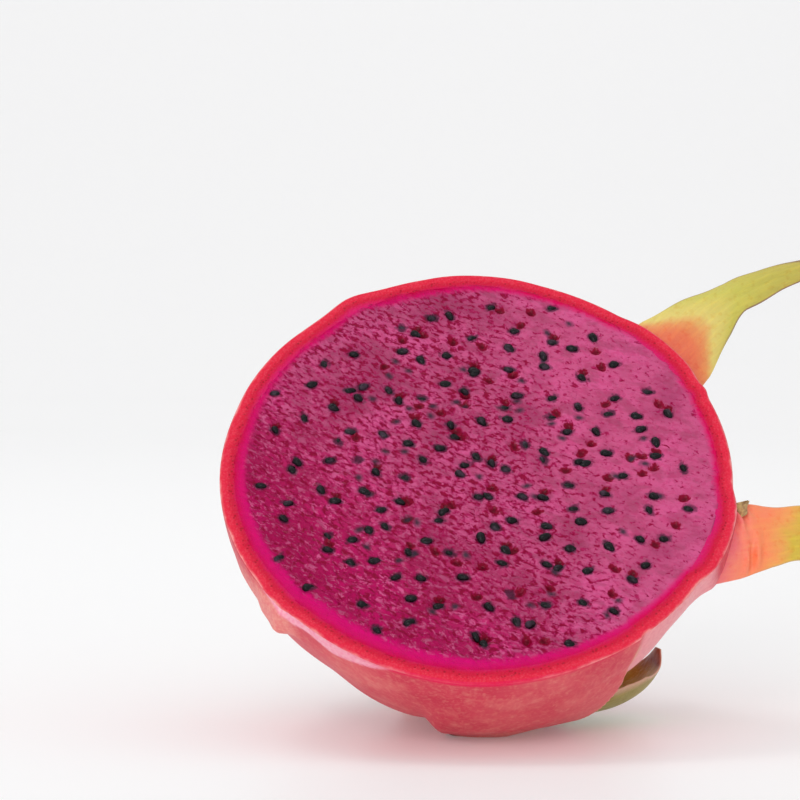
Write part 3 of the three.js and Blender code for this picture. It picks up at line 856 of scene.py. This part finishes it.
def streaks(seed, long_mm, short_mm):
    """Seeded noise on the bent map, blurred by an ellipse that is longer along x, with unit spread."""
    size, step = 1024, 0.16
    noise = np.random.default_rng(seed).normal(size=(size, size))
    f = np.fft.fftfreq(size, step)
    along, across_it = np.meshgrid(f, f, indexing="ij")
    keep = np.exp(-2 * (np.pi * along * long_mm) ** 2 - 2 * (np.pi * across_it * short_mm) ** 2)
    field = np.real(np.fft.ifft2(np.fft.fft2(noise) * keep))
    field /= field.std()
    ix = (face_x / step + size / 2) % (size - 1)
    iy = (bent_y / step + size / 2) % (size - 1)
    x0, y0 = ix.astype(int), iy.astype(int)
    wx, wy = ix - x0, iy - y0
    return (field[x0, y0] * (1 - wx) * (1 - wy) + field[x0 + 1, y0] * wx * (1 - wy)
            + field[x0, y0 + 1] * (1 - wx) * wy + field[x0 + 1, y0 + 1] * wx * wy)


print("flesh cells", round(2 * (RIM_R - RIND) / SIDE_N, 2), "mm wide")


# %% [markdown]
# Every dent is an oval whose distance is stored on the points as a plain cone. The material then cuts the
# cone at a height, which gives a crisper edge than the cells of the mesh have.

# %% Ovals on the face
def cones(places, turns, long_mm, short_mm, reach=2.2):
    """1 at the middle of each oval, 0 at its edge and below 0 outside: the highest of all."""
    value = np.full_like(face_x, 1 - reach)
    for (x, y), turn_by in zip(places, turns):
        near = np.hypot(face_x - x, face_y - y) < long_mm * reach
        dx, dy = face_x[near] - x, face_y[near] - y
        c, s = np.cos(turn_by), np.sin(turn_by)
        distance = np.hypot((dx * c + dy * s) / long_mm, (-dx * s + dy * c) / short_mm)
        value[near] = np.maximum(value[near], 1 - distance)
    return value


def turns_of(places, middle, spread, first):
    """A drawn turn for each place: a middle angle, give or take half the spread."""
    return np.radians(middle + spread * (draw(np.arange(len(places)) + first) - 0.5))


pit = cones(pits, turns_of(pits, -20, 100, 4000), 1.4, 1.05)
pit = np.maximum(pit, cones(beside, turns_of(beside, -10, 60, 8000), 1.25, 0.9))
seat = cones(seed_at, seed_turn, 1.6, 1.15)
grey = cones(buried, turns_of(buried, -20, 90, 7000), 1.35, 0.95)

right_calm = smooth((face_x - 2 + 0.25 * face_y) / 30)
lower_left = smooth((-face_x - 0.9 * face_y + 4) / 52)
margin_wide = 3.5 + 2.3 * np.cos(np.radians(disc_phi + 120))
margin = smooth((margin_wide + 1.3 - from_rim) / 2.6)
rough = (1 - 0.9 * margin) * (1 - 0.75 * right_calm) * (0.8 + 0.5 * lower_left)
relief = (0.075 * streaks(11, 0.6, 0.33) + 0.11 * streaks(12, 1.5, 0.75)) * rough
relief -= 0.7 * smooth(pit + 0.25) + 0.25 * smooth((seat + 0.6) / 1.2)
BELOW_CUT = 0.13
face = CENTRE + face_x[..., None] * RIGHT + face_y[..., None] * UP + (BELOW_CUT - relief)[..., None] * AXIS
print("relief of the flesh from", relief.min().round(2), "to", relief.max().round(2), "mm")

# %% Flesh mesh
idx = np.arange(SIDE_N * SIDE_N).reshape(SIDE_N, SIDE_N)
quads = np.stack([idx[:-1, :-1], idx[1:, :-1], idx[1:, 1:], idx[:-1, 1:]], -1).reshape(-1, 4)
border = np.concatenate([idx[:-1, 0], idx[-1, :-1], idx[:0:-1, -1], idx[0, :0:-1]])
wall = [cavity(disc_phi.ravel()[border], lat, GAP) for lat in (2, 9, 22, 38, 54, 70, 84)]
face_count, ring_count = idx.size, len(border)
ring_ids = [border] + [face_count + k * ring_count + np.arange(ring_count) for k in range(len(wall))]
for a, b in zip(ring_ids[:-1], ring_ids[1:]):
    quads = np.vstack([quads, np.stack([a, b, np.roll(b, -1), np.roll(a, -1)], -1)])
pole = np.full(ring_count, face_count + ring_count * len(wall))
tris = np.stack([ring_ids[-1], pole, np.roll(ring_ids[-1], -1)], -1)
points = np.vstack([face.reshape(-1, 3), np.concatenate(wall), place(0, FLESH_DEPTH - 0.1, 0)[None]])
hidden = len(points) - face_count


def over_all(values, fill=0.0):
    """Values of the face, and one value for all that is hidden behind it."""
    return np.concatenate([values.ravel(), np.full(hidden, fill)])


flesh_values = {
    "inset": over_all(from_rim / INSET_SPAN, 0.4), "margin": over_all(margin, 1.0),
    "calm": over_all(right_calm), "lower": over_all(lower_left), "pit": over_all(pit, -1),
    "seat": over_all(seat, -1), "buried": over_all(grey, -1),
}
bent_map = np.vstack([np.stack([face_x.ravel(), bent_y.ravel()], 1) / 100, np.zeros((hidden, 2))])
print(face_count, "points on the face,", hidden, "behind it")

# %% [markdown]
# ## Wet flesh
# The moist surface carries a rosy, milky film, which is a painted sheen: the light's reflection laid into
# the colour. Clefts between the torn cells break it and show the deep crimson inside, with painted shade
# along their bottoms. At the lower left the cells are finer and the painted sheen sparser, so the flesh is
# darker; at the right the sheen is whole. Round each seed the flesh is dark, and a pit is plain crimson
# with painted shade that deepens to its middle.

# %% Flesh material
m = Nodes("flesh", Roughness=0.3, IOR=1.38, Specular_IOR_Level=0.05, Subsurface_Weight=0.12,
          Subsurface_Radius=(0.004, 0.0008, 0.0016), Subsurface_Scale=0.35, Coat_Weight=0.13,
          Coat_Roughness=0.05)
uv = m.uv()
at = m.coords()
calm, lower, margin_at = m.read("calm"), m.read("lower"), m.read("margin")
streak = m.noise(uv, 96, 4, 0.62, (0.8, 1.12, 1), 0.45)
flakes = m.noise(uv, 84, 5, 0.68, (0.85, 1.1, 1), 0.6)
clouds = m.noise(at, 75, 3, 0.55)
patches = m.noise(uv, 28, 3, 0.6, (0.7, 1.1, 1))
# painted sheen: the light's milky reflection on the wet flesh, painted into the colour; the patches make it
# uneven
painted_sheen = m.ramp(clouds, [(0.34, (176, 68, 112)), (0.48, (200, 84, 131)), (0.62, (214, 88, 143))])
painted_sheen = m.mix(m.ramp(patches, [(0.5, 0), (0.62, 0.55)]), painted_sheen, (160, 64, 98))
deep = m.times(m.ramp(m.plus(flakes, m.times(lower, 0.08)), [(0.5, 0), (0.56, 1)]),
               m.plus(m.times(lower, 0.75), 0.25))
tone = m.mix(deep, painted_sheen, m.two_tone(clouds, (160, 4, 72), (192, 4, 96)))
open_up = m.plus(m.plus(streak, m.times(calm, 0.1)), m.swing(patches, 0.18))
# Clefts show the flesh's own crimson where the painted sheen breaks; the darker tone along their bottoms is
# painted shade
tone = m.mix(m.ramp(open_up, [(0.47, 0.85), (0.505, 0)]), tone, (174, 14, 86))
tone = m.mix(m.ramp(open_up, [(0.41, 0.95), (0.445, 0)]), tone, (146, 0, 54))
tone = m.mix(m.ramp(m.plus(margin_at, m.swing(flakes, 1.5)), [(0.3, 0), (0.9, 0.95)]), tone,
             m.mix(m.times(calm, 0.85), (220, 0, 114), (216, 48, 122)))
fuzzy = m.swing(m.noise(at, 900, 3, 0.6), 1.5)
halo = m.ramp(m.plus(m.read("seat"), fuzzy), [(0.0, 0), (0.25, 0.6), (0.5, 0.9)])
tone = m.mix(halo, tone, (70, 30, 54))
pit_at = m.plus(m.read("pit"), fuzzy)
# A pit is crimson, darkened towards its middle by painted shade of the hollow
tone = m.mix(m.ramp(pit_at, [(0.14, 0), (0.26, 0.97)]), tone,
             m.ramp(pit_at, [(0.3, (150, 0, 48)), (0.75, (104, 0, 26))]))
grey_at = m.plus(m.read("buried"), m.times(fuzzy, 0.6))
tone = m.mix(m.ramp(grey_at, [(0.0, 0), (0.8, 0.95)]), tone, (62, 46, 62))
rind, _ = cut_colour(m, at)
reach_in = m.plus(m.plus(m.read("inset"), m.swing(flakes, 0.25)), m.times(calm, 0.09))
tone = m.mix(m.ramp(reach_in, [(0.38, 0), (0.5, 1)]), rind, tone)
groove = m.bump(m.ramp(open_up, [(0.36, 0), (0.56, 1)]),
                m.math("SUBTRACT", 0.7, m.times(margin_at, 0.6)), 0.0002)
wet = m.bump(flakes, m.math("SUBTRACT", 0.75, m.times(calm, 0.6)), 0.0009, groove)
flesh_material = m.finish(Base_Color=tone, Normal=wet)
make_piece("cut_flesh", points, quads, tris, flesh_material, "flesh", flesh_values, bent_map)

# %% [markdown]
# ## Seeds
# A pitaya seed is a glossy black drop, rounder at one end. Each is a few rings of points with a slightly
# lumpy girth, laid in its dent and tipped a little, and some sit deeper than others.

# %% Seed piece
RINGS, SPOKES = 8, 11
SHORTER, SLIMMER = 0.86, 0.88  # against the plain drops


def seed_rings(k):
    """A drop: an egg of revolution along its length, with a lumpy girth, flattened in height."""
    s = np.linspace(0.1, np.pi - 0.1, RINGS)[:, None]
    a = np.linspace(0, 2 * np.pi, SPOKES, endpoint=False)[None, :]
    lumps = 1 + 0.12 * np.sin(3 * a + 5 * draw(k + 1700)) * np.sin(2 * s + 6 * draw(k + 1900))
    lumps = lumps + 0.08 * np.sin(2 * a + 9 * draw(k + 2000)) + 0.06 * np.sin(5 * a + 4 * s)
    fat = np.sin(s) ** 0.85 * (1 + 0.2 * np.cos(s)) * lumps
    x = -np.cos(s) * SEED[0] / 2 * seed_size[k] * SHORTER + 0 * a
    y = fat * np.cos(a) * SEED[1] / 2 * seed_size[k] * SLIMMER
    z = fat * np.sin(a) * SEED[2] / 2
    dip = (draw(k + 2100) - 0.5) * 0.6
    x, z = x * np.cos(dip) - z * np.sin(dip), x * np.sin(dip) + z * np.cos(dip)
    c, sn = np.cos(seed_turn[k]), np.sin(seed_turn[k])
    px, py = x * c - y * sn + seed_x[k], x * sn + y * c + seed_y[k]
    pz = z + SEED_PROUD - SEED[2] / 2 - seed_sink[k]
    return CENTRE + px[..., None] * RIGHT + py[..., None] * UP - pz[..., None] * AXIS


m = Nodes("seed", Roughness=0.25, IOR=1.45, Specular_IOR_Level=0.14, Coat_Weight=0.16, Coat_Roughness=0.08)
at = m.coords()
ripple = m.noise(at, 1500, 3, 0.6)
seed_tone = m.ramp(ripple, [(0.35, (5, 5, 8)), (0.7, (22, 22, 27))])
seed_tone = m.mix(m.ramp(m.noise(at, 420, 2, 0.5), [(0.54, 0), (0.68, 0.6)]), seed_tone, (74, 54, 72))
seed_material = m.finish(Base_Color=seed_tone, Normal=m.bump(ripple, 0.8, 0.0004))
make_piece("seeds", *joined(seed_rings(k) for k in range(SEEDS)), seed_material, "flesh")

# %% [markdown]
# ## The dried flower
# At the far end the flower dries to a brown, crumpled tube with papery shreds. It is a wrinkled neck with a
# few thin petals round it, and its grey-brown comes from noise stretched along the neck.

# %% Dried flower piece
FLOWER_LONG = 11.5
PETALS = 5
PETAL_THICK = 0.72
LOWEST = 0.3  # above the table
foot = DEPTH - CRATER_DEEP + 3 * GAP
s = np.linspace(0, FLOWER_LONG, 40)[:, None]
a = np.linspace(0, 360, 96, endpoint=False)[None, :]
neck_r = np.interp(s, [0, 1, 3, 6, 9, FLOWER_LONG], [3.4, 4.4, 4.2, 3.6, 3.9, 2.6])
crumple = 1 + 0.16 * np.cos(np.radians(a * 5)) * np.minimum(1, s / 3)
crumple = crumple + 0.05 * np.sin(np.radians(a * 13) + s) - 0.04
flower_parts = [place(a + 0 * s, foot + s + 0 * a, neck_r * crumple)]
t = np.linspace(0, 1, 26)
q, face_side, rim_q = section(20)
half = np.interp(t * 3, range(4), [2.2, 2.4, 1.8, 0.7])[:, None]
for k in range(PETALS):
    at_angle = np.array(k * 72 + 20)
    out = place(at_angle, np.array(0.0), np.array(1.0)) - CENTRE
    start = place(at_angle, np.array(DEPTH + 2), np.array(2.6))
    bend = draw(k + 70) * 3
    knots = np.array([start + AXIS * deep + out * away for deep, away in
                      ((0, 0), (4, 0.8), (8, 2.2 + bend), (FLOWER_LONG - bend, 4.5 + bend))])
    line = curve_through(knots, t)
    along = unit(np.gradient(line, axis=0))
    up = unit(out - (along @ out)[:, None] * along)
    side = np.cross(along, up)
    curl_up = 0.25 * np.sin(9 * t[:, None] + 3 * q + k) - 0.3 * q ** 2
    flower_parts.append(line[:, None] + side[:, None] * (q * half)[..., None]
                        + up[:, None] * (curl_up + face_side * rim_q * PETAL_THICK / 2)[..., None])
points, quads, tris = joined(flower_parts)
points[:, 2] = np.maximum(points[:, 2], LOWEST)
m = Nodes("dried_flower", Roughness=0.85)
fibre = m.noise(m.coords(), 260, 5, 0.7, (3, 1, 1))
dry = m.ramp(fibre, [(0.3, (74, 52, 38)), (0.55, (132, 100, 70)), (0.75, (176, 146, 108))])
flower_material = m.finish(Base_Color=dry, Normal=m.bump(fibre, 0.6, 0.0008))
make_piece("dried_flower_rest", points, quads, tris, flower_material, "dried_flower")

# %% [markdown]
# ## Table, light and camera
# The fruit stands on a smooth white table that runs into a white background. A bright room all round, a
# large panel in front at the left, a small one above and one for the background give soft shadows, and the
# table glows very faintly, so that it stays white in them. The camera stands a little above the table,
# looks slightly down and has a long lens, as a fit of the cut rim's outline gave.

# %% Floor
FLOOR_NEAR, FLOOR_FAR, FLOOR_WIDE, WALL_HIGH, SWEEP = -0.9, 1.3, 2.2, 1.6, 0.5
turn = np.linspace(0, np.pi / 2, 14)
profile = [(FLOOR_NEAR, 0.0), *zip(FLOOR_FAR - SWEEP + SWEEP * np.sin(turn), SWEEP - SWEEP * np.cos(turn)),
           (FLOOR_FAR, WALL_HIGH)]
verts = [(x, y, z) for y, z in profile for x in (-FLOOR_WIDE, FLOOR_WIDE)]
faces = [(2 * k, 2 * k + 1, 2 * k + 3, 2 * k + 2) for k in range(len(profile) - 1)]
mesh = bpy.data.meshes.new("table")
mesh.from_pydata(verts, [], faces)
mesh.shade_smooth()
m = Nodes("white_table", Roughness=0.4, IOR=1.4, Specular_IOR_Level=0.25, Base_Color=(0.88, 0.88, 0.885, 1),
          Emission_Color=(1, 1, 1, 1), Emission_Strength=0.11)
mesh.materials.append(m.finish())
table = add_object("table", mesh)

# %% Light
ROOM = 0.72
world = bpy.data.worlds.new("white_room")
world.use_nodes = True
world.node_tree.nodes["Background"].inputs["Color"].default_value = (1, 1, 1, 1)
world.node_tree.nodes["Background"].inputs["Strength"].default_value = ROOM
bpy.context.scene.world = world


def soft_light(name, where, target, size, power):
    """A square panel in metres and watts that faces its target."""
    light = bpy.data.lights.new(name, "AREA")
    light.size = size
    light.energy = power
    holder = add_object(name, light)
    holder.location = where
    holder.rotation_euler = (Vector(target) - Vector(where)).to_track_quat("-Z", "Y").to_euler()
    print(name, power, "W")


soft_light("sky_panel", (-0.35, 0.2, 0.85), (0, 0, 0.04), 0.3, 0.8)
soft_light("front_panel", (-0.35, -1.2, 0.56), (0, 0, 0.03), 0.7, 5.0)
soft_light("backdrop_panel", (0.0, 0.35, 1.0), (0, 1.3, 0.35), 0.9, 1.1)

# %% Camera
FOCAL_PX, PICTURE_PX, SENSOR = 3000, 800, 36
LOOKS_DOWN = 2.86
camera = bpy.data.cameras.new("camera")
camera.sensor_width = SENSOR
camera.lens = FOCAL_PX * SENSOR / PICTURE_PX
camera.clip_start = 0.01
eye = add_object("camera", camera)
eye.location = (-0.01432, -0.5605, 0.090)
eye.rotation_euler = (np.radians(90 - LOOKS_DOWN), 0, 0)
bpy.context.scene.camera = eye
bpy.context.scene.view_settings.view_transform = "Standard"
print("lens", camera.lens, "mm, looking down", LOOKS_DOWN, "degrees")
